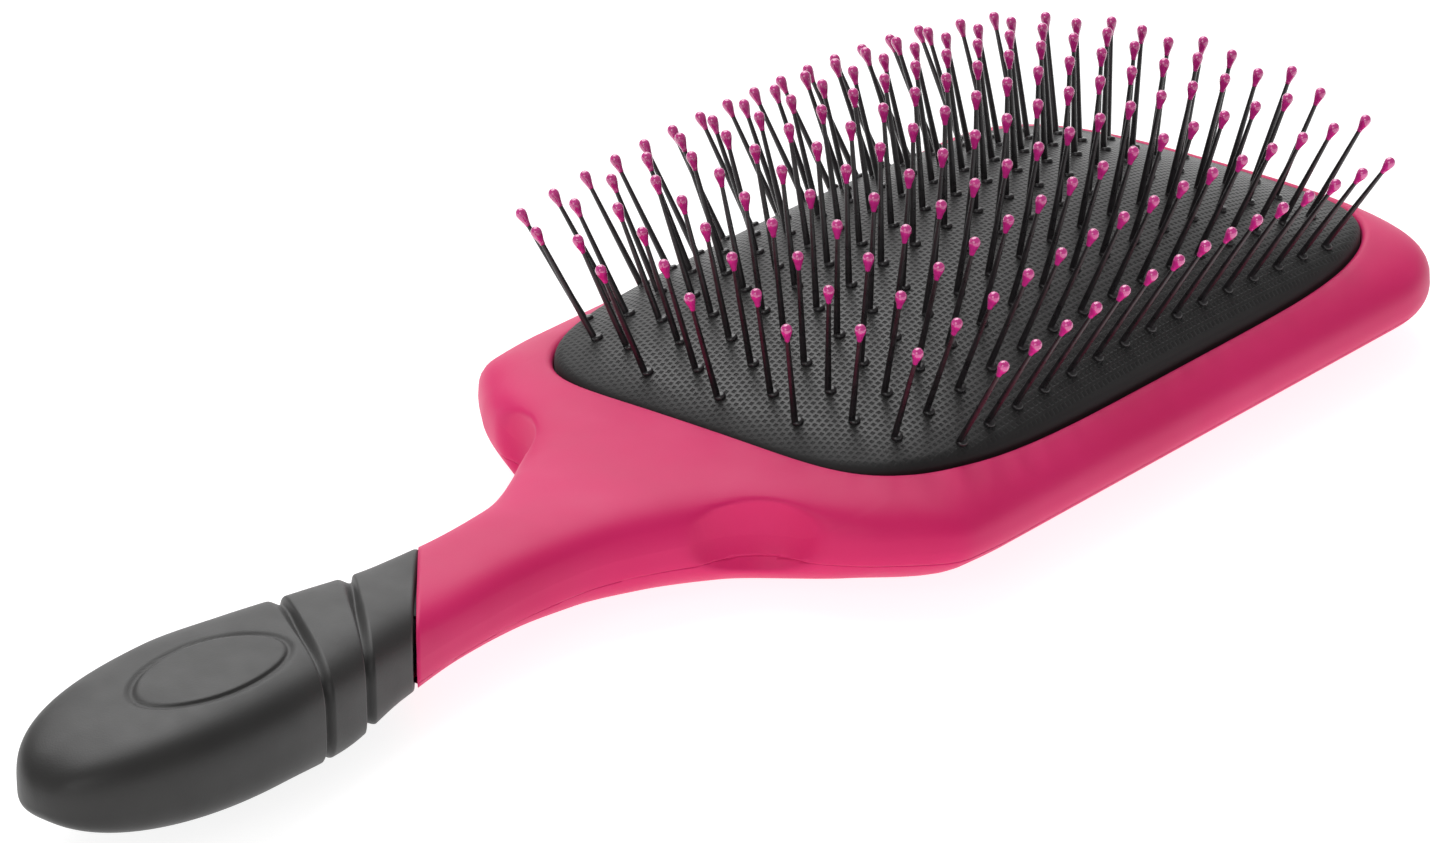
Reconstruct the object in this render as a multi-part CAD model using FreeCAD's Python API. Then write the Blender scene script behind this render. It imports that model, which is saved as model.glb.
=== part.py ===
import FreeCAD, Part
import math
import os

# Cushioned paddle brush for hair, lying on its back with the bristles up.
# Origin: centre of the head's flat back.  +X runs from the handle towards the
# head's far end, +Y across the head, +Z up along the bristles.  Millimetres.

Vector = FreeCAD.Vector
UP = Vector(0, 0, 1)

# ---- head and handle envelope ------------------------------------------------
HEAD_END = 63.4            # far end of the head
HEAD_HALF_WIDTH = 41.7
HEAD_CORNER = 18.0         # plan radius of the two far corners
WIDEST_HEIGHT = 8.2        # height at which every cross-section is widest
GRIP_END = -177.6          # rounded end of the handle
GRIP_SWELL = -148.7        # widest place of the grip
END_SLICE = 0.3            # the envelope stops this far short of both ends

# Cross-section stations: x, half width, top height, underside height.
STATIONS = (
    (GRIP_SWELL, 13.4, 16.6, 1.8),
    (-136.2, 12.1, 15.9, 0.7),
    (-124.2, 10.1, 15.3, 2.6),
    (-111.2, 8.7, 14.2, 3.6),
    (-101.2, 8.2, 14.1, 3.3),
    (-90.0, 9.1, 14.1, 2.4),
    (-80.0, 12.8, 14.7, 1.4),
    (-70.5, 19.6, 15.3, 0.4),
    (-61.0, 34.0, 15.9, 0.0),
    (-52.0, 41.2, 16.3, -1.1),
    (-43.5, HEAD_HALF_WIDTH, 16.7, -1.2),
    (46.0, HEAD_HALF_WIDTH, 16.7, -1.2),
)
TOP_ROUND_START = 50.0     # the far end rounds over from here at the top
LOW_ROUND_START = 46.0     # and from here at the underside
END_ROUND_POWER = 2.4
NOSE_POWERS = (2.2, 3.1, 2.0)   # how bluntly width, top and underside close at the grip's end
# Superellipse powers of the sections' upper and lower half: (x, power).
TOP_SQUARENESS = ((-140.0, 3.8), (-118.0, 3.2), (-75.0, 3.2), (-60.0, 2.8))
LOW_SQUARENESS = ((-95.0, 2.8), (-60.0, 2.3))
SECTION_POINTS = 20         # points on each half of a cross-section
OUTLINE_POINTS = 56        # points on the cushion's outline
SLICES = ((GRIP_SWELL, 7), (-100.0, 16), (-46.0, 4))   # start and count of each run of sections
GRIP_END_SLICES = 6
HEAD_END_SLICES = 7

# ---- where the pink body meets the rubber grip ---------------------------------
SEAM_X = -111.5            # on the centre line
SEAM_SLANT = 1.14          # the seam runs forward this much per unit of +Y
SEAM_GAP = 0.3
GROOVES = ((-122.8, 0.85), (-133.2, 0.62))   # x on the centre line, slant
GROOVE_WIDTH = 2.0
GROOVE_DEPTH = 0.9
GROOVE_FLOOR_END = -92.0
SLEEVE_WALL = 2.4
CORE_SHORTER = 1.2         # the core stops this much further inside the grip's end
CORE_FRONT = -86.0         # the core's own sections run on to here before the seam cuts them
SPIGOT = (22.0, 10.4, 5.0)   # length, width and height of the core's tongue
SPIGOT_START = 6.0         # how far behind the seam the tongue starts
SPIGOT_MIDDLE = 9.7        # height of its middle

# ---- split between the front shell and the back cover ---------------------------
PARTING_HEIGHT = 6.2
COVER_FLOOR = 2.2
PEGS = ((-63.2, 16.8, 3.6), (61.3, 18.0, 1.4))   # x, +-y, diameter
PEG_HEIGHT = 3.3
PEG_CLEARANCE = 0.1
ROOT = 0.5                 # how deep pegs and rib are rooted in the cover
CORING = (-68.3, 5.7, 10.5, 12.2)   # centre x, half length, half width, roof height
VENT = (-30.0, 0.0, 1.0)   # x, y, radius
DIMPLE_CENTRE = (-75.7, 25.2, 10.6)
DIMPLE_RADIUS = 10.6

# ---- cushion ---------------------------------------------------------------------
PAD_HALF_LENGTH = 58.0
PAD_HALF_WIDTH = 35.4
PAD_SQUARENESS = 4.6
DOME_BASE = 13.4           # height that the dome's formula starts from
DOME_RISE = 12.6
DOME_REACH = 1.04          # the dome's formula reaches zero this far past the edge
DOME_LENGTH_POWER = 0.75
DOME_WIDTH_POWER = 0.68
DOME_MARGIN = 0.6          # the surface is modelled this far past the edge
DOME_COLUMNS = 12          # spans of the dome's surface on each side of the middle
DOME_ROWS = 8
MEMBRANE = 1.6             # thickness of the crowned top
SIDE_WALL = 0.9            # thickness of the cushion's side
PAD_GAP = 0.2              # thin gap between the cushion and the rim
BEAD = 1.4                 # the cushion's edge bead reaches this far outwards
BEAD_BOTTOM = 10.2
BEAD_TOP = 11.8
RING_BOTTOM = 8.2
RING_INNER = -2.0          # ring's inner edge, measured outwards from the pad edge
RIB_INNER = -2.0
LEVEL_GAP = 0.1            # height gap between clamped pieces

# ---- bristles ----------------------------------------------------------------------
ROW_PITCH = 6.3
ROW_MIDDLE = -1.6          # x of every row's middle
# Number of bristles and half the row's length, from an outermost row to the centre row.
ROWS = ((15, 41.0), (15, 46.4), (15, 47.2), (16, 51.0), (15, 48.2), (16, 51.4))
ROW_COUNT = 2 * len(ROWS) - 1
PIN_LENGTH = 17.5          # from the cushion's surface to the ball tip's top
PIN_BASE_RADIUS = 0.46
PIN_TIP_RADIUS = 0.30
PIN_HOLE_RADIUS = 0.62
PIN_HOLE_REACH = 4.0       # the holes are drilled this far to both sides of the surface
PIN_SHANK = 1.0            # the stem tapers from this height on
FOOT_RADIUS = 1.0
FOOT_DEPTH = 2.9           # underside of the foot, below the cushion's surface
FOOT_THICKNESS = 0.6
BALL_RADIUS = 0.86
BALL_NECK = 2.7            # length of the teardrop tip
BALL_SOCKET = 1.6          # how deep the stem sits in the tip
LEAN_LENGTHWISE = 0.45     # cubic term of the lean towards both ends
LEAN_ACROSS = (0.48, 0.30)  # linear and cubic terms of the lean across

FAR = 250.0                # trimming blocks reach this far from the origin
TALL = 40.0                # and upright cuts this high


def ease(x, knots):
    """Smooth value at x through (x, value) knots, without overshoot."""
    if x <= knots[0][0]:
        return knots[0][1]
    if x >= knots[-1][0]:
        return knots[-1][1]
    slopes = [(b[1] - a[1]) / (b[0] - a[0]) for a, b in zip(knots, knots[1:])]
    tangents = [0.0]
    for before, after in zip(slopes, slopes[1:]):
        product = before * after
        tangents.append(2 * product / (before + after) if product > 0 else 0.0)
    tangents.append(0.0)
    index = max(i for i, knot in enumerate(knots[:-1]) if knot[0] <= x)
    (x0, v0), (x1, v1) = knots[index], knots[index + 1]
    span = x1 - x0
    t = (x - x0) / span
    return ((1 + 2 * t) * (1 - t) ** 2 * v0 + t * t * (3 - 2 * t) * v1
            + span * t * (1 - t) ** 2 * tangents[index]
            - span * t * t * (1 - t) * tangents[index + 1])


def end_factor(x, start, end, power):
    """Shrinks from 1 at start to 0 at end along a superellipse."""
    t = (x - start) / (end - start)
    if t <= 0:
        return 1.0
    return max(0.0, 1 - t ** power) ** (1 / power)


def section_size(x):
    """Half width, top height and underside height of the envelope at x."""
    width = ease(x, [(s[0], s[1]) for s in STATIONS])
    top = ease(x, [(s[0], s[2]) for s in STATIONS])
    low = ease(x, [(s[0], s[3]) for s in STATIONS])
    corner_start = HEAD_END - HEAD_CORNER
    if x > corner_start:
        reach = math.sqrt(max(0.0, HEAD_CORNER ** 2 - (x - corner_start) ** 2))
        width = HEAD_HALF_WIDTH - HEAD_CORNER + reach
    top_factor = end_factor(x, TOP_ROUND_START, HEAD_END, END_ROUND_POWER)
    low_factor = end_factor(x, LOW_ROUND_START, HEAD_END, END_ROUND_POWER)
    if x < GRIP_SWELL:
        factors = [end_factor(x, GRIP_SWELL, GRIP_END, power) for power in NOSE_POWERS]
        width *= factors[0]
        top_factor, low_factor = factors[1:]
    top = WIDEST_HEIGHT + (top - WIDEST_HEIGHT) * top_factor
    low = WIDEST_HEIGHT + (low - WIDEST_HEIGHT) * low_factor
    return width, top, low


def oval_point(angle, power):
    """Point of the unit superellipse in the direction of angle."""
    across, rise = math.cos(angle), math.sin(angle)
    reach = (abs(across) ** power + abs(rise) ** power) ** (-1 / power)
    return across * reach, rise * reach


def section_wire(x, shrink):
    """Closed cross-section of the envelope at x, shrunk inwards by shrink."""
    width, top, low = section_size(x)
    top_power = ease(x, TOP_SQUARENESS)
    low_power = ease(x, LOW_SQUARENESS)
    points = []
    for index in range(2 * SECTION_POINTS):
        upper = index <= SECTION_POINTS
        power = top_power if upper else low_power
        height = top - WIDEST_HEIGHT if upper else WIDEST_HEIGHT - low
        across, rise = oval_point(math.pi * index / SECTION_POINTS, power)
        points.append(Vector(x, across * (width - shrink), WIDEST_HEIGHT + rise * (height - shrink)))
    curve = Part.BSplineCurve()
    curve.interpolate(Points=points, PeriodicFlag=True)
    opposite = curve.parameter(points[SECTION_POINTS])
    upper_half = curve.toShape(curve.FirstParameter, opposite)
    lower_half = curve.toShape(opposite, curve.LastParameter)
    return Part.Wire([upper_half, lower_half])


def spaced(first, last, count):
    """Evenly spaced places, the last one left out."""
    return [first + (last - first) * i / count for i in range(count)]


def crowding(start, end, count):
    """Places between start and end that crowd towards end."""
    return [start + (end - start) * math.sin(math.pi / 2 * i / count) for i in range(1, count + 1)]


def loft(places, shrink):
    """Solid through the envelope's cross-sections, shrunk inwards by shrink."""
    return Part.makeLoft([section_wire(x, shrink) for x in places], True, False)


def brush_envelope():
    """Outside of the whole brush body, head and handle in one."""
    places = crowding(GRIP_SWELL, GRIP_END + END_SLICE, GRIP_END_SLICES)[::-1]
    ends = [start for start, _ in SLICES[1:]] + [LOW_ROUND_START]
    for (start, count), end in zip(SLICES, ends):
        places += spaced(start, end, count)
    places += [LOW_ROUND_START]
    places += crowding(LOW_ROUND_START, HEAD_END - END_SLICE, HEAD_END_SLICES)
    return loft(places, 0.0)


def core_envelope():
    """Outside of the rigid core inside the rubber grip."""
    end = GRIP_END + SLEEVE_WALL + CORE_SHORTER
    places = crowding(GRIP_SWELL, end, GRIP_END_SLICES)[::-1]
    return loft(places + spaced(GRIP_SWELL, CORE_FRONT, 8), SLEEVE_WALL)


def groove_floor():
    """Grip's surface sunk to the bottom of the grip grooves."""
    return loft(spaced(GRIP_SWELL, GROOVE_FLOOR_END, 9), GROOVE_DEPTH)


def below(height):
    """Everything under a height."""
    return Part.makeBox(2 * FAR, 2 * FAR, FAR + height, Vector(-FAR, -FAR, -FAR))


def slanted_slab(x, slant, start, end):
    """Block between two slanted upright planes, start to end measured along X from x."""
    corners = [
        Vector(x + start - slant * FAR, -FAR, -TALL),
        Vector(x + end - slant * FAR, -FAR, -TALL),
        Vector(x + end + slant * FAR, FAR, -TALL),
        Vector(x + start + slant * FAR, FAR, -TALL),
    ]
    face = Part.Face(Part.makePolygon(corners + corners[:1]))
    return face.extrude(UP * 2 * TALL)


def pad_prism(outset, bottom, top):
    """Upright block on the cushion's outline, grown outwards by outset."""
    half_length = PAD_HALF_LENGTH + outset
    half_width = PAD_HALF_WIDTH + outset
    points = []
    for index in range(OUTLINE_POINTS):
        along, across = oval_point(2 * math.pi * index / OUTLINE_POINTS, PAD_SQUARENESS)
        points.append(Vector(along * half_length, across * half_width, bottom))
    curve = Part.BSplineCurve()
    curve.interpolate(Points=points, PeriodicFlag=True)
    return Part.Face(Part.Wire([curve.toShape()])).extrude(UP * (top - bottom))


def dome_height(x, y):
    """Height of the cushion's crowned surface."""
    along = max(0.0, 1 - (x / (PAD_HALF_LENGTH * DOME_REACH)) ** 2)
    across = max(0.0, 1 - (y / (PAD_HALF_WIDTH * DOME_REACH)) ** 2)
    return DOME_BASE + DOME_RISE * along ** DOME_LENGTH_POWER * across ** DOME_WIDTH_POWER


def dome_block(sink):
    """Solid below the crowned surface, sunk by sink."""
    half_length = PAD_HALF_LENGTH + DOME_MARGIN
    half_width = PAD_HALF_WIDTH + DOME_MARGIN
    grid = []
    for column in range(-DOME_COLUMNS, DOME_COLUMNS + 1):
        x = half_length * math.sin(math.pi / 2 * column / DOME_COLUMNS)
        line = []
        for row in range(-DOME_ROWS, DOME_ROWS + 1):
            y = half_width * math.sin(math.pi / 2 * row / DOME_ROWS)
            line.append(Vector(x, y, dome_height(x, y) - sink))
        grid.append(line)
    surface = Part.BSplineSurface()
    surface.interpolate(grid)
    return surface.toShape().extrude(UP * -TALL)


def pins():
    """Every bristle as (row number, foot point on the cushion's surface, unit direction)."""
    found = []
    for row in range(ROW_COUNT):
        offset = row - (ROW_COUNT - 1) // 2
        count, half_span = ROWS[len(ROWS) - 1 - abs(offset)]
        y = offset * ROW_PITCH
        for index in range(count):
            x = ROW_MIDDLE - half_span + 2 * half_span * index / (count - 1)
            along = x / PAD_HALF_LENGTH
            across = y / PAD_HALF_WIDTH
            lean_x = LEAN_LENGTHWISE * along ** 3
            lean_y = LEAN_ACROSS[0] * across + LEAN_ACROSS[1] * across ** 3
            direction = Vector(lean_x, lean_y, 1).normalize()
            found.append((row + 1, Vector(x, y, dome_height(x, y)), direction))
    return found


def turned(profile, place, direction):
    """Solid of revolution from a closed (radius, height) profile, stood on place."""
    points = [Vector(radius, 0, height) for radius, height in profile]
    face = Part.Face(Part.makePolygon(points + points[:1]))
    solid = face.revolve(Vector(0, 0, 0), UP, 360)
    solid.Placement = FreeCAD.Placement(place, FreeCAD.Rotation(UP, direction))
    return solid


def stem(place, direction):
    """Nylon pin: foot under the cushion, shank through it, tapered stem."""
    top = PIN_LENGTH - BALL_NECK + BALL_SOCKET
    profile = [
        (0, -FOOT_DEPTH),
        (FOOT_RADIUS, -FOOT_DEPTH),
        (FOOT_RADIUS, FOOT_THICKNESS - FOOT_DEPTH),
        (PIN_BASE_RADIUS, FOOT_THICKNESS - FOOT_DEPTH),
        (PIN_BASE_RADIUS, PIN_SHANK),
        (PIN_TIP_RADIUS, PIN_LENGTH - BALL_NECK),
        (PIN_TIP_RADIUS, top),
        (0, top),
    ]
    return turned(profile, place, direction)


def ball_tip(place, direction):
    """Teardrop bead moulded over the end of a pin."""
    neck = PIN_LENGTH - BALL_NECK
    centre = PIN_LENGTH - BALL_RADIUS
    profile = [(0, neck + BALL_SOCKET), (PIN_TIP_RADIUS, neck + BALL_SOCKET), (PIN_TIP_RADIUS, neck)]
    for degrees in range(-40, 91, 10):
        angle = math.radians(degrees)
        profile.append((BALL_RADIUS * math.cos(angle), centre + BALL_RADIUS * math.sin(angle)))
    profile[-1] = (0, PIN_LENGTH)
    return turned(profile, place, direction)


def locating_pegs(extra):
    """Pegs that line the back cover up with the front shell."""
    pegs = []
    for x, y, diameter in PEGS:
        for side in (-1, 1):
            base = Vector(x, side * y, PARTING_HEIGHT - ROOT)
            pegs.append(Part.makeCylinder(diameter / 2 + extra, PEG_HEIGHT + ROOT + extra, base, UP))
    return pegs


def spigot(extra):
    """Tongue of the grip's core that plugs into the neck."""
    length, width, height = SPIGOT
    corner = Vector(SEAM_X - SPIGOT_START, -width / 2 - extra, SPIGOT_MIDDLE - height / 2 - extra)
    return Part.makeBox(length + extra, width + 2 * extra, height + 2 * extra, corner)


def pink_body():
    """Head and neck as one block, flat at the back and dimpled for thumb and finger."""
    ahead = slanted_slab(SEAM_X, SEAM_SLANT, SEAM_GAP / 2, FAR)
    pink = brush_envelope().common(ahead).cut(below(0.0))
    for side in (-1, 1):
        x, y, z = DIMPLE_CENTRE
        pink = pink.cut(Part.makeSphere(DIMPLE_RADIUS, Vector(x, side * y, z)))
    return pink


def shell_and_cover():
    """Front shell that holds the cushion, and the back cover that closes it."""
    pink = pink_body()
    shell = pink.cut(below(PARTING_HEIGHT))
    shell = shell.cut(pad_prism(BEAD + PAD_GAP, 0, BEAD_TOP + LEVEL_GAP))
    shell = shell.cut(pad_prism(PAD_GAP, 0, TALL))
    x, half_length, half_width, roof = CORING
    coring = Part.makeBox(2 * half_length, 2 * half_width, roof, Vector(x - half_length, -half_width, 0))
    shell = shell.cut([coring, spigot(PEG_CLEARANCE)] + locating_pegs(PEG_CLEARANCE))

    cover = pink.common(below(PARTING_HEIGHT)).cut(pad_prism(RIB_INNER, COVER_FLOOR, TALL))
    vent_x, vent_y, vent_radius = VENT
    cover = cover.cut(Part.makeCylinder(vent_radius, TALL, Vector(vent_x, vent_y, -TALL / 2), UP))
    rib = pad_prism(BEAD, PARTING_HEIGHT - ROOT, RING_BOTTOM - LEVEL_GAP)
    rib = rib.cut(pad_prism(RIB_INNER, 0, TALL))
    cover = cover.fuse([rib] + locating_pegs(0.0)).removeSplitter()
    return shell, cover


def core_and_sleeve():
    """Rigid core of the grip with its tongue, and the rubber sleeve over it."""
    behind = slanted_slab(SEAM_X, SEAM_SLANT, -FAR, -SEAM_GAP / 2)
    core = core_envelope().common(behind).fuse(spigot(0.0))
    sleeve = brush_envelope().common(behind).cut(core)
    for x, slant in GROOVES:
        half = GROOVE_WIDTH / 2 * math.sqrt(1 + slant * slant)
        sleeve = sleeve.cut(slanted_slab(x, slant, -half, half).cut(groove_floor()))
    return core, sleeve


def cushion_pieces(all_pins):
    """Air cushion with its holes, and the ring that clamps its bead."""
    outside = pad_prism(0.0, BEAD_BOTTOM, TALL).common(dome_block(0.0))
    bead = pad_prism(BEAD, BEAD_BOTTOM, BEAD_TOP)
    hollow = pad_prism(-SIDE_WALL, 0, TALL).common(dome_block(MEMBRANE))
    holes = []
    for _, place, direction in all_pins:
        start = place - direction * PIN_HOLE_REACH
        holes.append(Part.makeCylinder(PIN_HOLE_RADIUS, 2 * PIN_HOLE_REACH, start, direction))
    cushion = outside.fuse(bead).cut(hollow).cut(Part.makeCompound(holes))
    ring = pad_prism(BEAD, RING_BOTTOM, BEAD_BOTTOM - LEVEL_GAP)
    ring = ring.cut(pad_prism(RING_INNER, 0, TALL))
    return cushion, ring


def write(name, shape):
    shape.exportStep(f"parts/{name}.step")
    kind = "ok" if shape.isValid() else "NOT VALID"
    print(name, len(shape.Solids), "solids", round(shape.Volume, 1), "mm3", kind)


def main():
    os.makedirs("parts", exist_ok=True)
    all_pins = pins()
    shell, cover = shell_and_cover()
    core, sleeve = core_and_sleeve()
    cushion, ring = cushion_pieces(all_pins)
    write("head_shell", shell)
    write("back_cover", cover)
    write("handle_core", core)
    write("grip_sleeve", sleeve)
    write("cushion_pad", cushion)
    write("pad_retaining_ring", ring)
    for row in range(1, ROW_COUNT + 1):
        mine = [(place, direction) for number, place, direction in all_pins if number == row]
        write(f"bristle_row_{row:02d}", Part.makeCompound([stem(*pin) for pin in mine]))
        write(f"tip_row_{row:02d}", Part.makeCompound([ball_tip(*pin) for pin in mine]))


main()
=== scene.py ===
import math

import bmesh
import bpy
from mathutils import Matrix, Vector


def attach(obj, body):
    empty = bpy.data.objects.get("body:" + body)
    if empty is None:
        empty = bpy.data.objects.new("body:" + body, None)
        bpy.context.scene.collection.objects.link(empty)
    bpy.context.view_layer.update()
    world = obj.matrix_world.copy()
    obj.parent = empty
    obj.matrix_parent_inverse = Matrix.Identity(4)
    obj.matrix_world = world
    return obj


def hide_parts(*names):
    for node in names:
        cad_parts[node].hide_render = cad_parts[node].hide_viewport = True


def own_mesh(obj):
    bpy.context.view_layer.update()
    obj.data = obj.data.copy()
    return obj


# Looks of the cushioned paddle brush.  Lengths are millimetres up to new_piece,
# which turns them into metres.  The stage at the end is in metres.

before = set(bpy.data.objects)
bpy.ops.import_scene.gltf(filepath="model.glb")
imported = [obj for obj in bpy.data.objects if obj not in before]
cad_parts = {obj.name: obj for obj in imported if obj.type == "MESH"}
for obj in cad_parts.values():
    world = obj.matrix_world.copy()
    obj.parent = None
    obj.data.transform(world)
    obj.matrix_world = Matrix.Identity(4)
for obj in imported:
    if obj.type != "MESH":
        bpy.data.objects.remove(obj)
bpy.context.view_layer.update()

MM = 0.001

# ---- envelope of head and handle, the same as the CAD's -------------------------
HEAD_END = 63.4
HEAD_HALF_WIDTH = 41.7
HEAD_CORNER = 18.0
WIDEST_HEIGHT = 8.2
GRIP_END = -177.6
GRIP_SWELL = -148.7
STATIONS = (   # x, half width, top height, underside height
    (GRIP_SWELL, 13.4, 16.6, 1.8),
    (-136.2, 12.1, 15.9, 0.7),
    (-124.2, 10.1, 15.3, 2.6),
    (-111.2, 8.7, 14.2, 3.6),
    (-101.2, 8.2, 14.1, 3.3),
    (-90.0, 9.1, 14.1, 2.4),
    (-80.0, 12.8, 14.7, 1.4),
    (-70.5, 19.6, 15.3, 0.4),
    (-61.0, 34.0, 15.9, 0.0),
    (-52.0, 41.2, 16.3, -1.1),
    (-43.5, HEAD_HALF_WIDTH, 16.7, -1.2),
    (46.0, HEAD_HALF_WIDTH, 16.7, -1.2),
)
TOP_ROUND_START = 50.0
LOW_ROUND_START = 46.0
END_ROUND_POWER = 2.4
NOSE_POWERS = (2.2, 3.1, 2.0)   # how bluntly width, top and underside close at the grip's end
# Superellipse powers of the sections' upper and lower half: (x, power).
TOP_SQUARENESS = ((-140.0, 3.8), (-118.0, 3.2), (-75.0, 3.2), (-60.0, 2.8))
LOW_SQUARENESS = ((-95.0, 2.8), (-60.0, 2.3))
SEAM_X = -111.5
SEAM_SLANT = 1.14
SEAM_GAP = 0.3
SEAM_ROUND_LENGTH = 0.8    # the grip's edge is rounded over this length before the seam
SEAM_ROUND_DEPTH = 0.5
SLANT_PASSES = 8           # repeats that settle a point on a slanted plane
PARTING_HEIGHT = 6.2
PARTING_GAP = 0.02
TURN_IN = 1.2              # how far the shells' edges are turned inwards at the parting line
TURN_CENTRE = -30.0        # x of the point that the edges are turned towards
TURN_REACH = 60.0          # farther from it along x they are turned straight across
BACK_SOFTNESS = 0.5        # how softly the back's flat runs out into its curve
DIMPLE_CENTRE = (-75.7, 25.2, 10.6)
DIMPLE_RADIUS = 10.6
DIMPLE_SOFTNESS = 0.4
VENT = (-30.0, 0.0, 1.0)   # x, y, radius
VENT_DEPTH = 2.2
VENT_SIDES = 24
VENT_PATCH = 4.0           # reach of the faces replaced round the vent, in radii
FLAT_BACK_TOP = 0.9        # faces lower than this belong to the flat of the back

# ---- rim opening and cushion ------------------------------------------------------
PAD_HALF_LENGTH = 58.0
PAD_HALF_WIDTH = 35.4
PAD_SQUARENESS = 4.6
PAD_GAP = 0.2
LIP = 0.9                  # radius of the rolled edge round the cushion
LIP_WALL = 3.5             # height of the wall under the rolled edge
ROUND_STEPS = 6            # steps of the quarter rounds of the lip and the cushion
DOME_BASE = 13.4
DOME_RISE = 12.6
DOME_REACH = 1.04
DOME_LENGTH_POWER = 0.75
DOME_WIDTH_POWER = 0.68
CUSHION_BOTTOM = 10.6
CUSHION_ROLL = 1.1
EMBOSS_AND_EDGE_SHADE_HEIGHTS = (15.2, 17.6)   # the embossing fades in between these heights, and below them the colour is the pits' dark tone as painted shade round the edge
CUSHION_RINGS = 70
CUSHION_SPOKES = 240

# ---- bristles ------------------------------------------------------------------------
ROW_PITCH = 6.3
ROW_MIDDLE = -1.6
ROWS = ((15, 41.0), (15, 46.4), (15, 47.2), (16, 51.0), (15, 48.2), (16, 51.4))
ROW_COUNT = 2 * len(ROWS) - 1
PIN_LENGTH = 17.5
PIN_BASE_RADIUS = 0.46
PIN_TIP_RADIUS = 0.30
BALL_RADIUS = 0.76
BALL_NECK = 2.7
BALL_SOCKET = 1.6
PIN_SINK = 2.0             # the stem starts this far below the cushion's surface
LEAN_LENGTHWISE = 0.45
LEAN_ACROSS = (0.48, 0.30)
PIN_STRAIGHT = 1.0         # the taper starts this far above the surface
PIN_MIDDLE_RADIUS = 0.388
NECK_FLARE = 0.06          # the teardrop's neck is this much thicker than the stem
NECK_CHAMFER = 0.02
NECK_STEPS = 8
CAP_STEP = 14              # degrees between the rings of the ball's cap
COLLAR_RADIUS = 0.8
COLLAR_HEIGHT = 0.55
COLLAR_SINK = 0.6
COLLAR_SHARES = ((1.0, 0.5), (0.85, 0.85), (0.5, 1.0), (0.1, 1.0))   # of radius and height
COLLAR_OFFSET = (0.25, -0.25)
PIN_SIDES = 14
TIP_SIDES = 16

# ---- grip ------------------------------------------------------------------------------
# How far the sections lean along x for each millimetre across: (x, slant).
GRIP_SLANTS = ((-162.0, 0.0), (-133.2, 0.62), (-122.8, 0.85), (SEAM_X, SEAM_SLANT))
GROOVE_PLACES = (-122.8, -133.2)
GROOVE_HALF_WIDTH = 1.5
GROOVE_DEPTH = 1.0
GROOVE_SHARPNESS = 1.3
OVAL_CENTRE = (-149.6, -1.4)
OVAL_HALF_SIZE = (11.9, 6.6)
OVAL_GROOVE_WIDTH = 0.34
OVAL_GROOVE_DEPTH = 0.45


def ease(x, knots):
    """Smooth value at x through (x, value) knots, without overshoot."""
    if x <= knots[0][0]:
        return knots[0][1]
    if x >= knots[-1][0]:
        return knots[-1][1]
    slopes = [(b[1] - a[1]) / (b[0] - a[0]) for a, b in zip(knots, knots[1:])]
    tangents = [0.0]
    for before, after in zip(slopes, slopes[1:]):
        product = before * after
        tangents.append(2 * product / (before + after) if product > 0 else 0.0)
    tangents.append(0.0)
    index = max(i for i, knot in enumerate(knots[:-1]) if knot[0] <= x)
    (x0, v0), (x1, v1) = knots[index], knots[index + 1]
    span = x1 - x0
    t = (x - x0) / span
    return ((1 + 2 * t) * (1 - t) ** 2 * v0 + t * t * (3 - 2 * t) * v1
            + span * t * (1 - t) ** 2 * tangents[index]
            - span * t * t * (1 - t) * tangents[index + 1])


def end_factor(x, start, end, power):
    """Shrinks from 1 at start to 0 at end along a superellipse."""
    t = (x - start) / (end - start)
    if t <= 0:
        return 1.0
    return max(0.0, 1 - t ** power) ** (1 / power)


def section_size(x):
    """Half width, top height and underside height of the envelope at x."""
    width = ease(x, [(s[0], s[1]) for s in STATIONS])
    top = ease(x, [(s[0], s[2]) for s in STATIONS])
    low = ease(x, [(s[0], s[3]) for s in STATIONS])
    corner_start = HEAD_END - HEAD_CORNER
    if x > corner_start:
        reach = math.sqrt(max(0.0, HEAD_CORNER ** 2 - (x - corner_start) ** 2))
        width = HEAD_HALF_WIDTH - HEAD_CORNER + reach
    top_factor = end_factor(x, TOP_ROUND_START, HEAD_END, END_ROUND_POWER)
    low_factor = end_factor(x, LOW_ROUND_START, HEAD_END, END_ROUND_POWER)
    if x < GRIP_SWELL:
        factors = [end_factor(x, GRIP_SWELL, GRIP_END, power) for power in NOSE_POWERS]
        width *= factors[0]
        top_factor, low_factor = factors[1:]
    top = WIDEST_HEIGHT + (top - WIDEST_HEIGHT) * top_factor
    low = WIDEST_HEIGHT + (low - WIDEST_HEIGHT) * low_factor
    return width, top, low


def squareness(x):
    """Superellipse powers of the upper and lower half of the section at x."""
    return ease(x, TOP_SQUARENESS), ease(x, LOW_SQUARENESS)


def oval_point(angle, power):
    """Point of the unit superellipse in the direction of angle."""
    across, rise = math.cos(angle), math.sin(angle)
    reach = (abs(across) ** power + abs(rise) ** power) ** (-1 / power)
    return across * reach, rise * reach


def section_point(x, angle):
    """Point of the envelope at x, in the polar direction angle of its section."""
    width, top, low = section_size(x)
    top_power, low_power = squareness(x)
    upper = math.sin(angle) >= 0
    across, rise = oval_point(angle, top_power if upper else low_power)
    height = top - WIDEST_HEIGHT if upper else WIDEST_HEIGHT - low
    return across * width, WIDEST_HEIGHT + rise * height


def slanted_point(x, slant, angle):
    """Point of the envelope on the slanted upright plane that crosses the centre line at x."""
    place = x
    for _ in range(SLANT_PASSES):
        y, z = section_point(place, angle)
        place = x + slant * y
    return Vector((place, y, z))


def smooth_max(value, floor, softness):
    """The larger of value and floor, with the change between them softened."""
    return 0.5 * (value + floor + math.sqrt((value - floor) ** 2 + softness ** 2))


# ---- mesh helpers ------------------------------------------------------------------------

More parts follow.
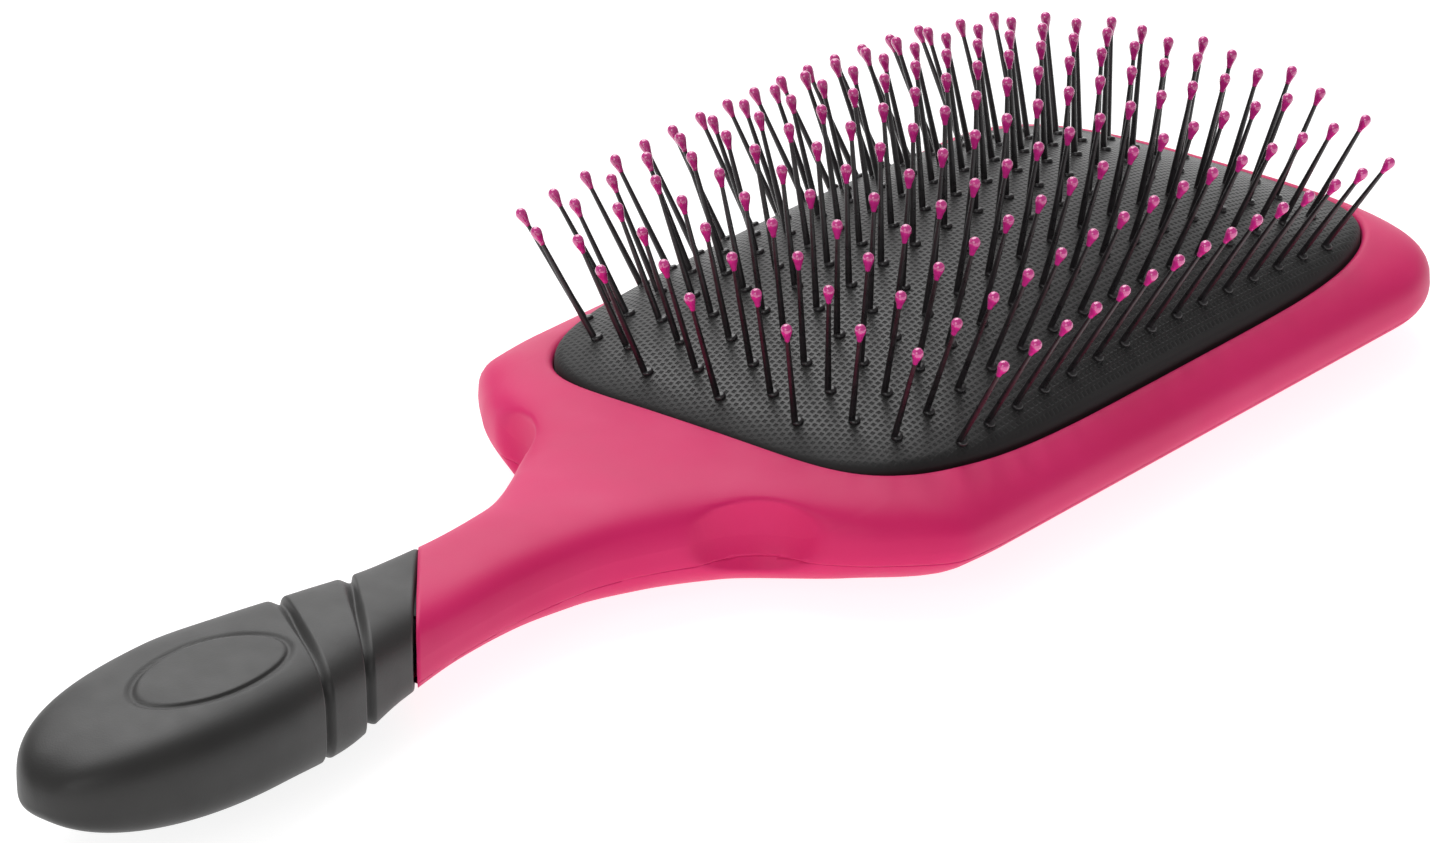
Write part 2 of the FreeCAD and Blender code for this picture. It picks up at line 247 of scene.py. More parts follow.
def new_piece(name, mesh, body, material):
    """Turns a bmesh in millimetres into a named piece that rides on a body."""
    bmesh.ops.recalc_face_normals(mesh, faces=mesh.faces)
    bmesh.ops.scale(mesh, vec=(MM, MM, MM), verts=mesh.verts)
    data = bpy.data.meshes.new(name)
    mesh.to_mesh(data)
    mesh.free()
    data.polygons.foreach_set("use_smooth", [True] * len(data.polygons))
    data.materials.append(material)
    piece = bpy.data.objects.new(name, data)
    bpy.context.scene.collection.objects.link(piece)
    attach(piece, body)
    return piece


def add_loop(mesh, points):
    return [mesh.verts.new(point) for point in points]


def bridge(mesh, first, second):
    """Quads between two closed loops of the same length."""
    count = len(first)
    for index in range(count):
        after = (index + 1) % count
        mesh.faces.new((first[index], first[after], second[after], second[index]))


def close_end(mesh, loop, shares):
    """Flat face inside a loop, with smaller copies of the loop at the given shares of its size."""
    centre = sum((vert.co for vert in loop), Vector()) / len(loop)
    previous = loop
    for share in shares:
        inner = add_loop(mesh, [centre + (vert.co - centre) * share for vert in loop])
        bridge(mesh, previous, inner)
        previous = inner
    mesh.faces.new(previous)


def quarter_round(radius):
    """(sideways, down) of each step over a rounded edge, from level to upright."""
    angles = [math.radians(90 * step / ROUND_STEPS) for step in range(1, ROUND_STEPS + 1)]
    return [(radius * math.sin(angle), radius * (1 - math.cos(angle))) for angle in angles]


def lathe(mesh, profile, place, direction, sides):
    """Closed solid of revolution: (radius, height) profile about direction at place."""
    turn = Vector((0, 0, 1)).rotation_difference(direction).to_matrix().to_4x4()
    frame_at = Matrix.Translation(place) @ turn
    loops = []
    for radius, height in profile:
        loop = []
        for index in range(sides):
            angle = 2 * math.pi * index / sides
            point = Vector((radius * math.cos(angle), radius * math.sin(angle), height))
            loop.append(mesh.verts.new(frame_at @ point))
        loops.append(loop)
    for first, second in zip(loops, loops[1:]):
        bridge(mesh, first, second)
    mesh.faces.new(loops[0])
    mesh.faces.new(loops[-1])


# ---- materials ------------------------------------------------------------------------------

class Nodes:
    """Small helper round one material's node tree."""

    def __init__(self, name, color, roughness):
        self.material = bpy.data.materials.new(name)
        self.material.use_nodes = True
        self.tree = self.material.node_tree
        self.shader = self.tree.nodes["Principled BSDF"]
        self.shader.inputs["Base Color"].default_value = (*color, 1)
        self.shader.inputs["Roughness"].default_value = roughness
        self.material.diffuse_color = (*color, 1)

    def add(self, kind, inputs=None, **settings):
        node = self.tree.nodes.new(kind)
        for key, value in settings.items():
            setattr(node, key, value)
        for key, value in (inputs or {}).items():
            if isinstance(value, bpy.types.NodeSocket):
                self.tree.links.new(value, node.inputs[key])
            else:
                node.inputs[key].default_value = value
        return node

    def link(self, output, socket):
        self.tree.links.new(output, self.shader.inputs[socket])

    def place(self):
        return self.add("ShaderNodeTexCoord").outputs["Object"]

    def noise(self, scale, detail):
        return self.add("ShaderNodeTexNoise", {"Vector": self.place(), "Scale": scale, "Detail": detail})

    def product(self, first, second):
        return self.add("ShaderNodeMath", {0: first, 1: second}, operation="MULTIPLY").outputs[0]

    def shades(self, factor, low, high, low_at=0.0, high_at=1.0):
        ramp = self.add("ShaderNodeValToRGB", {"Fac": factor})
        ramp.color_ramp.elements[0].position = low_at
        ramp.color_ramp.elements[0].color = (*low, 1)
        ramp.color_ramp.elements[1].position = high_at
        ramp.color_ramp.elements[1].color = (*high, 1)
        return ramp.outputs["Color"]

    def spread(self, factor, low, high):
        return self.add("ShaderNodeMapRange", {0: factor, 3: low, 4: high}).outputs[0]

    def bump(self, height, distance, strength):
        inputs = {"Height": height, "Distance": distance, "Strength": strength}
        return self.add("ShaderNodeBump", inputs).outputs["Normal"]


def pink_material(name):
    """Soft-touch coated plastic: silky, with a faint mottling and a very fine grain."""
    nodes = Nodes(name, (0.72, 0.014, 0.140), 0.5)
    mottle = nodes.noise(45.0, 3.0).outputs["Fac"]
    nodes.link(nodes.shades(mottle, (0.69, 0.012, 0.130), (0.75, 0.016, 0.150), 0.35, 0.65), "Base Color")
    smear = nodes.noise(160.0, 2.0).outputs["Fac"]
    nodes.link(nodes.spread(smear, 0.44, 0.56), "Roughness")
    grain = nodes.noise(5200.0, 2.0).outputs["Fac"]
    nodes.link(nodes.bump(grain, 0.00003, 0.35), "Normal")
    nodes.shader.inputs["Specular IOR Level"].default_value = 0.32
    nodes.shader.inputs["Sheen Weight"].default_value = 0.05
    nodes.shader.inputs["Sheen Roughness"].default_value = 0.45
    nodes.shader.inputs["Sheen Tint"].default_value = (1.0, 0.62, 0.72, 1)
    nodes.shader.inputs["Subsurface Weight"].default_value = 0.05
    nodes.shader.inputs["Subsurface Radius"].default_value = (0.002, 0.0006, 0.0006)
    return nodes.material


def grip_material():
    """Satin moulded rubber with a fine matte grain and faint paler patches at random."""
    nodes = Nodes("grip_rubber_look", (0.035, 0.034, 0.032), 0.5)
    cloud = nodes.noise(60.0, 4.0).outputs["Fac"]
    nodes.link(nodes.shades(cloud, (0.012, 0.0112, 0.0108), (0.019, 0.0180, 0.0172), 0.3, 0.7), "Base Color")
    smear = nodes.noise(220.0, 2.0).outputs["Fac"]
    nodes.link(nodes.spread(smear, 0.42, 0.58), "Roughness")
    grain = nodes.noise(4200.0, 2.0).outputs["Fac"]
    nodes.link(nodes.bump(grain, 0.00004, 0.4), "Normal")
    nodes.shader.inputs["Sheen Weight"].default_value = 0.06
    nodes.shader.inputs["Sheen Roughness"].default_value = 0.5
    return nodes.material


def cushion_material():
    """Black rubber embossed with staggered rectangular pits between raised ridges, with painted shade:
    towards the edge the embossing fades and the colour darkens to the pits' tone.
    """
    nodes = Nodes("cushion_rubber_look", (0.03, 0.03, 0.03), 0.5)
    weave = nodes.add("ShaderNodeTexBrick", {
        "Vector": nodes.place(),
        "Scale": 1.0,
        "Mortar Size": 0.00024,
        "Mortar Smooth": 0.35,
        "Brick Width": 0.00090,
        "Row Height": 0.00092,
    }, offset=0.5, squash=1.0)
    height = nodes.add("ShaderNodeSeparateXYZ", {"Vector": nodes.place()}).outputs["Z"]
    emboss_and_shade_range = {0: height, 1: EMBOSS_AND_EDGE_SHADE_HEIGHTS[0] * MM, 2: EMBOSS_AND_EDGE_SHADE_HEIGHTS[1] * MM}
    emboss_fade_and_edge_shade = nodes.add("ShaderNodeMapRange", emboss_and_shade_range)
    ridges_and_edge_shade = nodes.product(weave.outputs["Fac"], emboss_fade_and_edge_shade.outputs[0])
    # The low end of this ramp is the pits' colour and also a painted shade over the plain band round the
    # cushion's edge.
    nodes.link(nodes.shades(ridges_and_edge_shade, (0.002, 0.002, 0.002), (0.010, 0.0095, 0.0092)), "Base Color")
    nodes.link(nodes.spread(ridges_and_edge_shade, 0.7, 0.38), "Roughness")
    nodes.link(nodes.bump(ridges_and_edge_shade, 0.00022, 1.0), "Normal")
    nodes.shader.inputs["Sheen Weight"].default_value = 0.08
    nodes.shader.inputs["Sheen Roughness"].default_value = 0.4
    return nodes.material


def stem_material():
    """Black nylon with a faint brown tint and fine streaks, with a soft gloss."""
    nodes = Nodes("bristle_nylon_look", (0.014, 0.009, 0.010), 0.28)
    streak = nodes.noise(900.0, 2.0).outputs["Fac"]
    nodes.link(nodes.shades(streak, (0.008, 0.007, 0.008), (0.018, 0.015, 0.017), 0.3, 0.7), "Base Color")
    nodes.link(nodes.spread(streak, 0.22, 0.36), "Roughness")
    nodes.shader.inputs["Coat Weight"].default_value = 0.3
    nodes.shader.inputs["Coat Roughness"].default_value = 0.15
    return nodes.material


def tip_material():
    """Glossy dipped ball tips in magenta pink."""
    nodes = Nodes("tip_pink_look", (0.66, 0.022, 0.27), 0.2)
    cloud = nodes.noise(1200.0, 2.0).outputs["Fac"]
    nodes.link(nodes.shades(cloud, (0.60, 0.018, 0.24), (0.72, 0.030, 0.31), 0.3, 0.7), "Base Color")
    nodes.link(nodes.spread(cloud, 0.16, 0.26), "Roughness")
    nodes.shader.inputs["Coat Weight"].default_value = 1.0
    nodes.shader.inputs["Coat Roughness"].default_value = 0.04
    nodes.shader.inputs["Coat IOR"].default_value = 1.75
    nodes.shader.inputs["Subsurface Weight"].default_value = 0.15
    nodes.shader.inputs["Subsurface Radius"].default_value = (0.0008, 0.0003, 0.0005)
    return nodes.material


def inner_material():
    """Plain moulded black plastic for the hidden core and ring."""
    nodes = Nodes("inner_plastic_look", (0.05, 0.05, 0.055), 0.45)
    grain = nodes.noise(2500.0, 2.0).outputs["Fac"]
    nodes.link(nodes.shades(grain, (0.04, 0.04, 0.045), (0.06, 0.06, 0.066), 0.3, 0.7), "Base Color")
    nodes.link(nodes.bump(grain, 0.00004, 0.4), "Normal")
    return nodes.material


# ---- pink body ----------------------------------------------------------------------------------

RING_LENGTH = PAD_HALF_LENGTH + PAD_GAP + LIP
RING_WIDTH = PAD_HALF_WIDTH + PAD_GAP + LIP
RIM_COLUMNS = 14
TOP_COLUMNS = 44
LOW_COLUMNS = 60
NECK_ROWS = 66
RING_ROWS = 84
END_ROWS = 18
LAST_COLUMN = 2 * RIM_COLUMNS + TOP_COLUMNS
WIDEST_SHARE = 0.999       # the rim's line keeps inside this share of the half width
ZERO = 1e-9
STRAIGHT_X = -84.0         # the rows lean like the seam at the seam and not at all from here
PULL_REACH = 8.0           # the corner pull starts this far behind the opening
END_MARGIN = 0.01
MERGE_DISTANCE = 0.002
CUT_TOLERANCE = 1e-5
LEVEL_TOLERANCE = 1e-3
SEAM_FACE_SHARES = (0.985, 0.6)


def pad_line(x):
    """Half width at x of the grid line that runs along the rim opening."""
    if x < -RING_LENGTH:
        return RING_WIDTH * section_size(x)[0] / section_size(-RING_LENGTH)[0]
    if x > RING_LENGTH:
        return RING_WIDTH * section_size(x)[0] / section_size(RING_LENGTH)[0]
    return RING_WIDTH


def top_height(x, y):
    """Height of the envelope's upper surface."""
    width, top, _ = section_size(x)
    power = squareness(x)[0]
    inside = max(0.0, 1 - min(1.0, abs(y) / width) ** power)
    return WIDEST_HEIGHT + (top - WIDEST_HEIGHT) * inside ** (1 / power)


def column_angle(x, column):
    """Polar direction of a numbered column of the upper half at x."""
    width = section_size(x)[0]
    power = squareness(x)[0]
    share = min(WIDEST_SHARE, pad_line(x) / width)
    rim_angle = math.atan((share ** -power - 1) ** (1 / power))
    if column <= RIM_COLUMNS:
        return rim_angle * column / RIM_COLUMNS
    if column >= LAST_COLUMN - RIM_COLUMNS:
        return math.pi - rim_angle * (LAST_COLUMN - column) / RIM_COLUMNS
    across = share * (1 - 2 * (column - RIM_COLUMNS) / TOP_COLUMNS)
    if abs(across) < ZERO:
        return math.pi / 2
    angle = math.atan((abs(across) ** -power - 1) ** (1 / power))
    return angle if across > 0 else math.pi - angle


def corner_pull(x, y):
    """How far the opening's rounded corners pull a grid point of its square outline inwards."""
    along = max(-1.0, min(1.0, x / RING_LENGTH))
    across = max(-1.0, min(1.0, y / RING_WIDTH))
    size = (abs(along) ** PAD_SQUARENESS + abs(across) ** PAD_SQUARENESS) ** (1 / PAD_SQUARENESS)
    larger = max(abs(along), abs(across))
    factor = larger / size - 1 if size > 0 else 0.0
    return RING_LENGTH * along * factor, RING_WIDTH * across * factor


def dimpled(point):
    """Pushes a point out of the thumb dimples' spheres."""
    for side in (-1, 1):
        centre = Vector((DIMPLE_CENTRE[0], side * DIMPLE_CENTRE[1], DIMPLE_CENTRE[2]))
        away = point - centre
        distance = away.length
        if distance < DIMPLE_RADIUS + 4 * DIMPLE_SOFTNESS:
            point = centre + away * (smooth_max(distance, DIMPLE_RADIUS, DIMPLE_SOFTNESS) / distance)
    return point


def pink_rows():
    """(x on the centre line, slant, weight of the corner pull) of each row of the pink body."""
    rows = []
    start = SEAM_X + SEAM_GAP / 2
    for index in range(NECK_ROWS):
        x = start + (-RING_LENGTH - start) * index / NECK_ROWS
        slant = ease(x, [(start, SEAM_SLANT), (STRAIGHT_X, 0.0)])
        near = max(0.0, 1 - (-RING_LENGTH - x) / PULL_REACH)
        rows.append((x, slant, near * near))
    for index in range(RING_ROWS + 1):
        rows.append((-RING_LENGTH + 2 * RING_LENGTH * index / RING_ROWS, 0.0, 1.0))
    for index in range(1, END_ROWS + 1):
        t = index / END_ROWS
        x = RING_LENGTH + (HEAD_END - RING_LENGTH) * math.sin(math.pi / 2 * t)
        rows.append((min(x, HEAD_END - END_MARGIN), 0.0, (1 - t) ** 2))
    return rows


def upper_point(x, slant, pull, column):
    """Point of the upper half in a row and column, with the opening's corners rounded."""
    place = x
    for _ in range(SLANT_PASSES if slant else 1):
        angle = column_angle(place, column)
        y, z = section_point(place, angle)
        place = x + slant * y
    edge = min(column, LAST_COLUMN - column, RIM_COLUMNS) / RIM_COLUMNS
    shift_x, shift_y = corner_pull(place, y)
    weight = pull * edge * edge * (3 - 2 * edge)
    if weight > 0 and (shift_x or shift_y):
        place += shift_x * weight
        y += shift_y * weight
        z = top_height(place, y)
    return Vector((place, y, z))


def pink_surface():
    """Whole outside of the pink body, open where the cushion sits and at the grip seam."""
    mesh = bmesh.new()
    grid = []
    for x, slant, pull in pink_rows():
        line = [dimpled(upper_point(x, slant, pull, column)) for column in range(LAST_COLUMN + 1)]
        for index in range(1, LOW_COLUMNS):
            point = slanted_point(x, slant, math.pi * (1 + index / LOW_COLUMNS))
            point.z = smooth_max(point.z, 0.0, BACK_SOFTNESS)
            line.append(dimpled(point))
        grid.append(add_loop(mesh, line))
    ring_rows = range(NECK_ROWS, NECK_ROWS + RING_ROWS)
    for row, (first, second) in enumerate(zip(grid, grid[1:])):
        for column in range(len(first)):
            inside = RIM_COLUMNS <= column < LAST_COLUMN - RIM_COLUMNS
            if row in ring_rows and inside:
                continue
            after = (column + 1) % len(first)
            mesh.faces.new((first[column], first[after], second[after], second[column]))
    add_lip(mesh, grid)
    close_end(mesh, grid[0], SEAM_FACE_SHARES)
    mesh.faces.new(grid[-1])
    loose = [vert for vert in mesh.verts if not vert.link_faces]
    bmesh.ops.delete(mesh, geom=loose, context="VERTS")
    bmesh.ops.remove_doubles(mesh, verts=mesh.verts, dist=MERGE_DISTANCE)
    return mesh


def add_lip(mesh, grid):
    """Rolled edge from the rim down into the gap round the cushion."""
    low_row, high_row = NECK_ROWS, NECK_ROWS + RING_ROWS
    first, final = RIM_COLUMNS, LAST_COLUMN - RIM_COLUMNS
    outline = [grid[row][first] for row in range(low_row, high_row)]
    outline += [grid[high_row][column] for column in range(first, final)]
    outline += [grid[row][final] for row in range(high_row, low_row, -1)]
    outline += [grid[low_row][column] for column in range(final, first, -1)]
    previous = outline
    for inset, drop in quarter_round(LIP) + [(LIP, LIP + LIP_WALL)]:
        points = []
        for vert in outline:
            x = vert.co.x * (RING_LENGTH - inset) / RING_LENGTH
            y = vert.co.y * (RING_WIDTH - inset) / RING_WIDTH
            points.append(Vector((x, y, vert.co.z - drop)))
        loop = add_loop(mesh, points)
        bridge(mesh, previous, loop)
        previous = loop


def vent_circle(height):
    x, y, radius = VENT
    angles = [2 * math.pi * index / VENT_SIDES for index in range(VENT_SIDES)]
    return [Vector((x + radius * math.cos(angle), y + radius * math.sin(angle), height)) for angle in angles]


def punch_vent(mesh):
    """Round vent through the flat back: the faces round it are replaced by a ring and a well."""
    x, y, radius = VENT
    low = [face for face in mesh.faces if face.calc_center_median().z < FLAT_BACK_TOP]
    patch = [face for face in low
             if (face.calc_center_median() - Vector((x, y, 0))).length < VENT_PATCH * radius]
    around = [edge for edge in mesh.edges if any(face in patch for face in edge.link_faces)]
    border = [edge for edge in around if sum(face in patch for face in edge.link_faces) == 1]
    loose = [edge for edge in around if edge not in border]
    level = border[0].verts[0].co.z
    bmesh.ops.delete(mesh, geom=patch, context="FACES_ONLY")
    bmesh.ops.delete(mesh, geom=loose, context="EDGES")
    rim = add_loop(mesh, vent_circle(level))
    bottom = add_loop(mesh, vent_circle(VENT_DEPTH))
    ring = [mesh.edges.new((rim[index - 1], rim[index])) for index in range(VENT_SIDES)]
    bmesh.ops.bridge_loops(mesh, edges=border + ring)
    bridge(mesh, rim, bottom)
    well = mesh.faces.new(bottom)
    for edge in ring + list(well.edges):
        edge.smooth = False


def half_shell(upper):
    """The pink surface above or below the parting line, with its edge turned inwards."""
    mesh = pink_surface()
    sign = 1 if upper else -1
    level = PARTING_HEIGHT + sign * PARTING_GAP / 2
    everything = mesh.verts[:] + mesh.edges[:] + mesh.faces[:]
    bmesh.ops.bisect_plane(mesh, geom=everything, dist=CUT_TOLERANCE, plane_co=(0, 0, level),
                           plane_no=(0, 0, sign), clear_inner=True)
    outline = [edge for edge in mesh.edges if edge.is_boundary]
    parting = [edge for edge in outline
               if all(abs(vert.co.z - level) < LEVEL_TOLERANCE for vert in edge.verts)]
    if not upper:
        punch_vent(mesh)
    mesh.normal_update()
    grown = bmesh.ops.extrude_edge_only(mesh, edges=parting)["geom"]
    for vert in [item for item in grown if isinstance(item, bmesh.types.BMVert)]:
        along = TURN_CENTRE - vert.co.x
        inwards = Vector((along if abs(along) < TURN_REACH else 0, -vert.co.y, 0))
        vert.co += inwards.normalized() * TURN_IN
    return mesh


# ---- grip ----------------------------------------------------------------------------------------

GRIP_ROWS = 230
GRIP_TIP_ROWS = 120
GRIP_COLUMNS = 330
GRIP_FACE_SHARES = (0.6,)


def groove_sink(x):
    """Depth of the finger grooves at x on the centre line."""
    sink = 0.0
    for groove in GROOVE_PLACES:
        reach = abs(x - groove) / GROOVE_HALF_WIDTH
        if reach < 1:
            sink += GROOVE_DEPTH * (0.5 + 0.5 * math.cos(math.pi * reach)) ** GROOVE_SHARPNESS
    return sink


def oval_sink(point):
    """Depth of the plain oval line on the grip's top."""
    if point.z < WIDEST_HEIGHT:
        return 0.0
    along = (point.x - OVAL_CENTRE[0]) / OVAL_HALF_SIZE[0]
    across = (point.y - OVAL_CENTRE[1]) / OVAL_HALF_SIZE[1]
    distance = (math.hypot(along, across) - 1) * OVAL_HALF_SIZE[1]
    return OVAL_GROOVE_DEPTH * math.exp(-(distance / OVAL_GROOVE_WIDTH) ** 2)


def grip_surface():
    """Outside of the rubber grip, from its rounded end to the slanted seam."""
    mesh = bmesh.new()
    seam = SEAM_X - SEAM_GAP / 2
    places = [GRIP_SWELL + (GRIP_END - GRIP_SWELL) * math.cos(math.pi / 2 * index / GRIP_TIP_ROWS)
              for index in range(1, GRIP_TIP_ROWS)]
    places += [GRIP_SWELL + (seam - GRIP_SWELL) * index / GRIP_ROWS for index in range(GRIP_ROWS + 1)]
    loops = []
    for x in places:
        slant = ease(x, GRIP_SLANTS)
        edge = max(0.0, 1 - (seam - x) / SEAM_ROUND_LENGTH)
        round_in = SEAM_ROUND_DEPTH * (1 - math.sqrt(max(0.0, 1 - edge * edge)))
        sunk = []
        for index in range(GRIP_COLUMNS):
            point = slanted_point(x, slant, 2 * math.pi * index / GRIP_COLUMNS)
            sink = groove_sink(x) + oval_sink(point) + round_in
            inwards = (Vector((point.x, 0, WIDEST_HEIGHT)) - point).normalized()
            sunk.append(point + inwards * sink)
        loops.append(add_loop(mesh, sunk))
    for first, second in zip(loops, loops[1:]):
        bridge(mesh, first, second)
    pole = mesh.verts.new((GRIP_END, 0, WIDEST_HEIGHT))
    for index in range(GRIP_COLUMNS):
        mesh.faces.new((loops[0][index], loops[0][(index + 1) % GRIP_COLUMNS], pole))
    close_end(mesh, loops[-1], GRIP_FACE_SHARES)
    return mesh


# ---- cushion and bristles --------------------------------------------------------------------------

def dome_height(x, y):
    """Height of the cushion's crowned surface."""
    along = max(0.0, 1 - (x / (PAD_HALF_LENGTH * DOME_REACH)) ** 2)
    across = max(0.0, 1 - (y / (PAD_HALF_WIDTH * DOME_REACH)) ** 2)
    return DOME_BASE + DOME_RISE * along ** DOME_LENGTH_POWER * across ** DOME_WIDTH_POWER


def dome_normal(x, y):
    """Direction straight out of the cushion's surface."""
    step = 0.05
    slope_x = (dome_height(x + step, y) - dome_height(x - step, y)) / (2 * step)
    slope_y = (dome_height(x, y + step) - dome_height(x, y - step)) / (2 * step)
    return Vector((-slope_x, -slope_y, 1)).normalized()


def pins():
    """Every bristle as (row number, foot point on the cushion's surface, unit direction)."""
    found = []
    for row in range(ROW_COUNT):
        offset = row - (ROW_COUNT - 1) // 2
        count, half_span = ROWS[len(ROWS) - 1 - abs(offset)]
        y = offset * ROW_PITCH
        for index in range(count):
            x = ROW_MIDDLE - half_span + 2 * half_span * index / (count - 1)
            across = y / PAD_HALF_WIDTH
            lean_x = LEAN_LENGTHWISE * (x / PAD_HALF_LENGTH) ** 3
            lean_y = LEAN_ACROSS[0] * across + LEAN_ACROSS[1] * across ** 3
            direction = Vector((lean_x, lean_y, 1)).normalized()
            found.append((row + 1, Vector((x, y, dome_height(x, y))), direction))
    return found


def pad_outline(inset, share=1.0):
    """(x, y) places round the cushion's outline, drawn in by inset and scaled by share."""
    places = []
    for index in range(CUSHION_SPOKES):
        along, across = oval_point(2 * math.pi * index / CUSHION_SPOKES, PAD_SQUARENESS)
        x = along * share * (PAD_HALF_LENGTH - inset)
        y = across * share * (PAD_HALF_WIDTH - inset)
        places.append((x, y))
    return places


def cushion_surface():
    """Crowned cushion with its rolled edge."""
    mesh = bmesh.new()
    centre = mesh.verts.new((0, 0, dome_height(0, 0)))
    loops = []
    for ring in range(1, CUSHION_RINGS + 1):
        places = pad_outline(CUSHION_ROLL, ring / CUSHION_RINGS)
        loops.append(add_loop(mesh, [(x, y, dome_height(x, y)) for x, y in places]))
    for sideways, drop in quarter_round(CUSHION_ROLL):
        places = pad_outline(CUSHION_ROLL - sideways)
        loops.append(add_loop(mesh, [(x, y, dome_height(x, y) - drop) for x, y in places]))
    loops.append(add_loop(mesh, [(x, y, CUSHION_BOTTOM) for x, y in pad_outline(0.0)]))
    for index in range(CUSHION_SPOKES):
        mesh.faces.new((centre, loops[0][index], loops[0][(index + 1) % CUSHION_SPOKES]))
    for first, second in zip(loops, loops[1:]):
        bridge(mesh, first, second)
    mesh.faces.new(loops[-1])
    return mesh


def add_collar(mesh, place):
    """Small moulded nub beside a bristle, where it comes through the cushion."""
    profile = [(COLLAR_RADIUS, -COLLAR_SINK)]
    profile += [(wide * COLLAR_RADIUS, high * COLLAR_HEIGHT) for wide, high in COLLAR_SHARES]
    x = place.x + COLLAR_OFFSET[0]
    y = place.y + COLLAR_OFFSET[1]
    lathe(mesh, profile, Vector((x, y, dome_height(x, y))), dome_normal(x, y), PIN_SIDES)


def stem_profile():
    """(radius, height) of the tapered stem, up into its ball tip."""
    neck = PIN_LENGTH - BALL_NECK
    return [(PIN_BASE_RADIUS, -PIN_SINK), (PIN_BASE_RADIUS, PIN_STRAIGHT), (PIN_MIDDLE_RADIUS, neck / 2),
            (PIN_TIP_RADIUS, neck), (PIN_TIP_RADIUS, neck + BALL_SOCKET)]


def tip_profile():
    """Teardrop: a slim neck that swells smoothly into a ball."""
    neck = PIN_LENGTH - BALL_NECK
    start = neck + NECK_CHAMFER
    centre = PIN_LENGTH - BALL_RADIUS
    slim = PIN_TIP_RADIUS + NECK_FLARE
    profile = [(PIN_TIP_RADIUS - NECK_CHAMFER, neck)]
    for step in range(NECK_STEPS):
        t = step / NECK_STEPS
        swell = t * t * (3 - 2 * t)
        profile.append((slim + (BALL_RADIUS - slim) * swell, start + t * (centre - start)))
    for degrees in range(0, 90, CAP_STEP):
        angle = math.radians(degrees)
        profile.append((BALL_RADIUS * math.cos(angle), centre + BALL_RADIUS * math.sin(angle)))
    return profile


def add_bristles():
    """Stems, collars and ball tips, one piece of each kind for every row."""
    all_pins = pins()
    stem_look = stem_material()
    tip_look = tip_material()
    for row in range(1, ROW_COUNT + 1):
        stems = bmesh.new()
        tips = bmesh.new()
        for number, place, direction in all_pins:
            if number == row:
                lathe(stems, stem_profile(), place, direction, PIN_SIDES)
                add_collar(stems, place)
                lathe(tips, tip_profile(), place, direction, TIP_SIDES)
        body = f"row_{row:02d}"
        stems = new_piece(f"stems_{row:02d}", stems, body, stem_look)
        tips = new_piece(f"tips_{row:02d}", tips, body, tip_look)
        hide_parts(f"bristle_row_{row:02d}")
        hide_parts(f"tip_row_{row:02d}")


def add_object():
    shell = new_piece("front_shell_skin", half_shell(True), "brush_body",
                      pink_material("front_shell_look"))
    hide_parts("head_shell")
    cover = new_piece("back_cover_skin", half_shell(False), "brush_body",
                      pink_material("back_cover_look"))
    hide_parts("back_cover")
    grip = new_piece("grip_skin", grip_surface(), "brush_body", grip_material())
    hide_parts("grip_sleeve")
    cushion = new_piece("cushion_skin", cushion_surface(), "brush_body",
                        cushion_material())
    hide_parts("cushion_pad")
    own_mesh(cushion)
    add_bristles()
    inner = inner_material()
    for name in ("handle_core", "pad_retaining_ring"):
        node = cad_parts[name]
        node.data.materials.clear()
        node.data.materials.append(inner)


# ---- stage --------------------------------------------------------------------------------------------

CAMERA_AZIMUTH = -50.35
CAMERA_ELEVATION = 24.32
CAMERA_ROLL = -0.40
CAMERA_DISTANCE = 0.873
CAMERA_LENS = 160.0
SENSOR = 36.0
CLIP_START = 0.01
FLOOR_TONE = 0.45
FLOOR_GLOW = 0.85
FLOOR_REACH = 6.0
FLOOR_LEVEL = -0.0006
WORLD_STRENGTH = 0.30
LIGHT_AIM = Vector((-0.05, 0, 0))
# name, azimuth and elevation in degrees, distance and size in metres, power in watts
LIGHTS = (
    ("key", 150, 60, 1.2, 1.0, 10.5),
    ("back", 128, 22, 1.5, 1.3, 5.0),
    ("side", -76, 28, 1.4, 0.8, 3.8),
)
AIM = Vector((0, 0.0018, 0.0146))
AIM_SHIFT = (-0.0318, 0.0177)      # sideways and upwards offset of the head from the view's axis


def outwards(azimuth, elevation):
    """Unit vector away from the object, for angles in degrees."""
    azimuth, elevation = math.radians(azimuth), math.radians(elevation)
    return Vector((math.sin(azimuth) * math.cos(elevation), -math.cos(azimuth) * math.cos(elevation),
                   math.sin(elevation)))


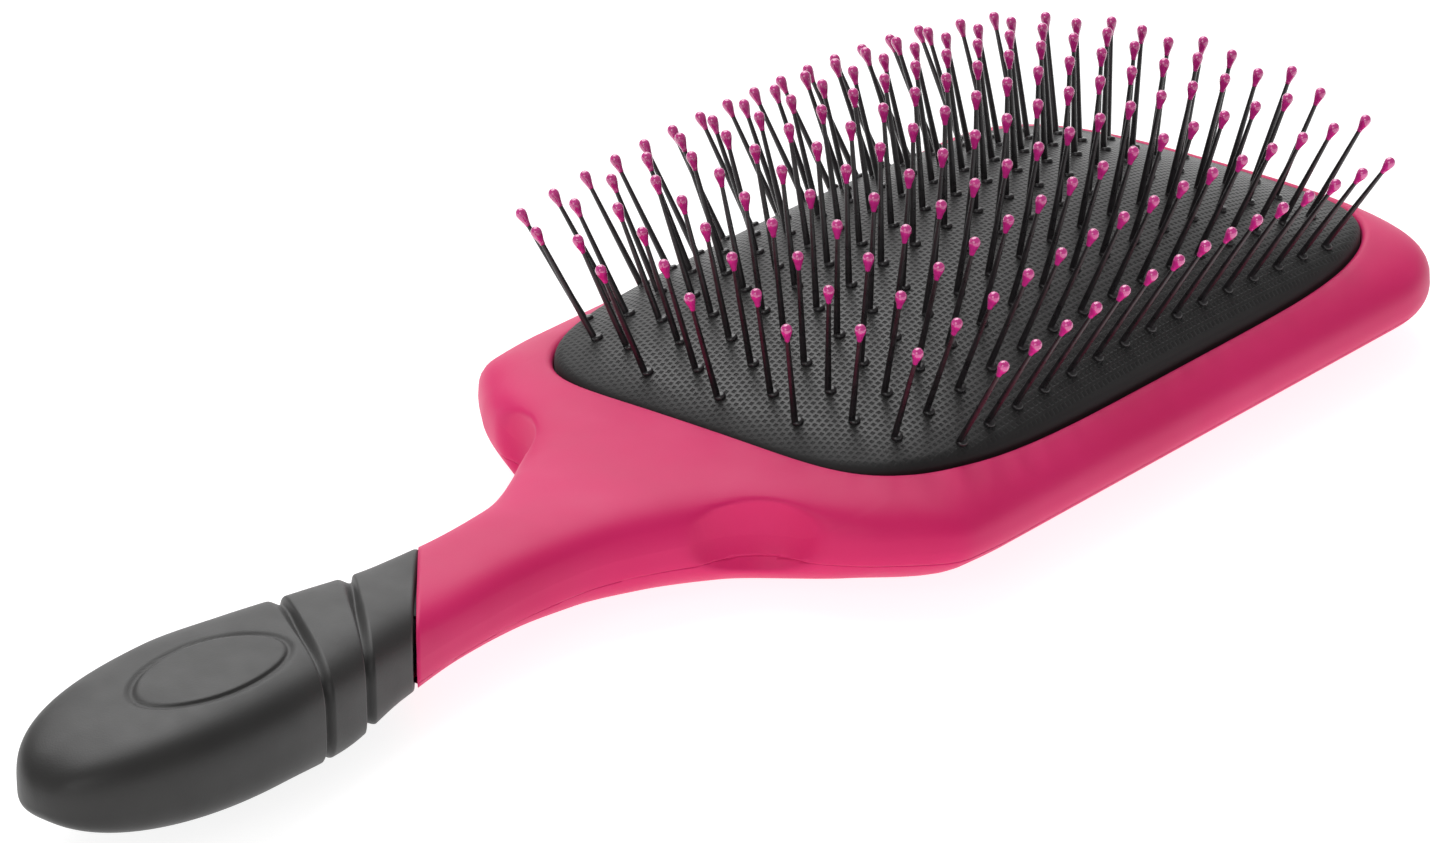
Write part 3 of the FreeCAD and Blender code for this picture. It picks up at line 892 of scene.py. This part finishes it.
def add_camera():
    forward = -outwards(CAMERA_AZIMUTH, CAMERA_ELEVATION)
    azimuth = math.radians(CAMERA_AZIMUTH)
    right = Vector((math.cos(azimuth), math.sin(azimuth), 0))
    up = right.cross(forward)
    level = Matrix((right, up, -forward)).transposed().to_4x4()
    roll = Matrix.Rotation(math.radians(CAMERA_ROLL), 4, "Z")
    data = bpy.data.cameras.new("camera")
    data.lens = CAMERA_LENS
    data.sensor_width = SENSOR
    data.clip_start = CLIP_START
    camera = bpy.data.objects.new("camera", data)
    location = AIM - forward * CAMERA_DISTANCE + right * AIM_SHIFT[0] - up * AIM_SHIFT[1]
    camera.matrix_world = Matrix.Translation(location) @ level @ roll
    bpy.context.scene.collection.objects.link(camera)
    bpy.context.scene.camera = camera


def add_floor():
    mesh = bmesh.new()
    bmesh.ops.create_grid(mesh, x_segments=2, y_segments=2, size=FLOOR_REACH)
    data = bpy.data.meshes.new("floor")
    mesh.to_mesh(data)
    mesh.free()
    floor = bpy.data.objects.new("floor", data)
    floor.location.z = FLOOR_LEVEL
    nodes = Nodes("floor_look", (FLOOR_TONE, FLOOR_TONE, FLOOR_TONE), 0.9)
    nodes.shader.inputs["Emission Color"].default_value = (1, 1, 1, 1)
    nodes.shader.inputs["Emission Strength"].default_value = FLOOR_GLOW
    data.materials.append(nodes.material)
    bpy.context.scene.collection.objects.link(floor)


def add_light(name, azimuth, elevation, distance, size, power):
    """Square soft light aimed at the head's neighbourhood."""
    away = outwards(azimuth, elevation)
    data = bpy.data.lights.new(name, "AREA")
    data.size = size
    data.energy = power
    light = bpy.data.objects.new(name, data)
    light.location = LIGHT_AIM + away * distance
    light.rotation_euler = away.to_track_quat("Z", "Y").to_euler()
    bpy.context.scene.collection.objects.link(light)


def add_world():
    world = bpy.data.worlds.new("studio")
    world.use_nodes = True
    world.node_tree.nodes["Background"].inputs["Color"].default_value = (1, 1, 1, 1)
    world.node_tree.nodes["Background"].inputs["Strength"].default_value = WORLD_STRENGTH
    bpy.context.scene.world = world


add_camera()
add_object()
add_floor()
add_world()
for light in LIGHTS:
    add_light(*light)
bpy.context.scene.view_settings.view_transform = "Standard"
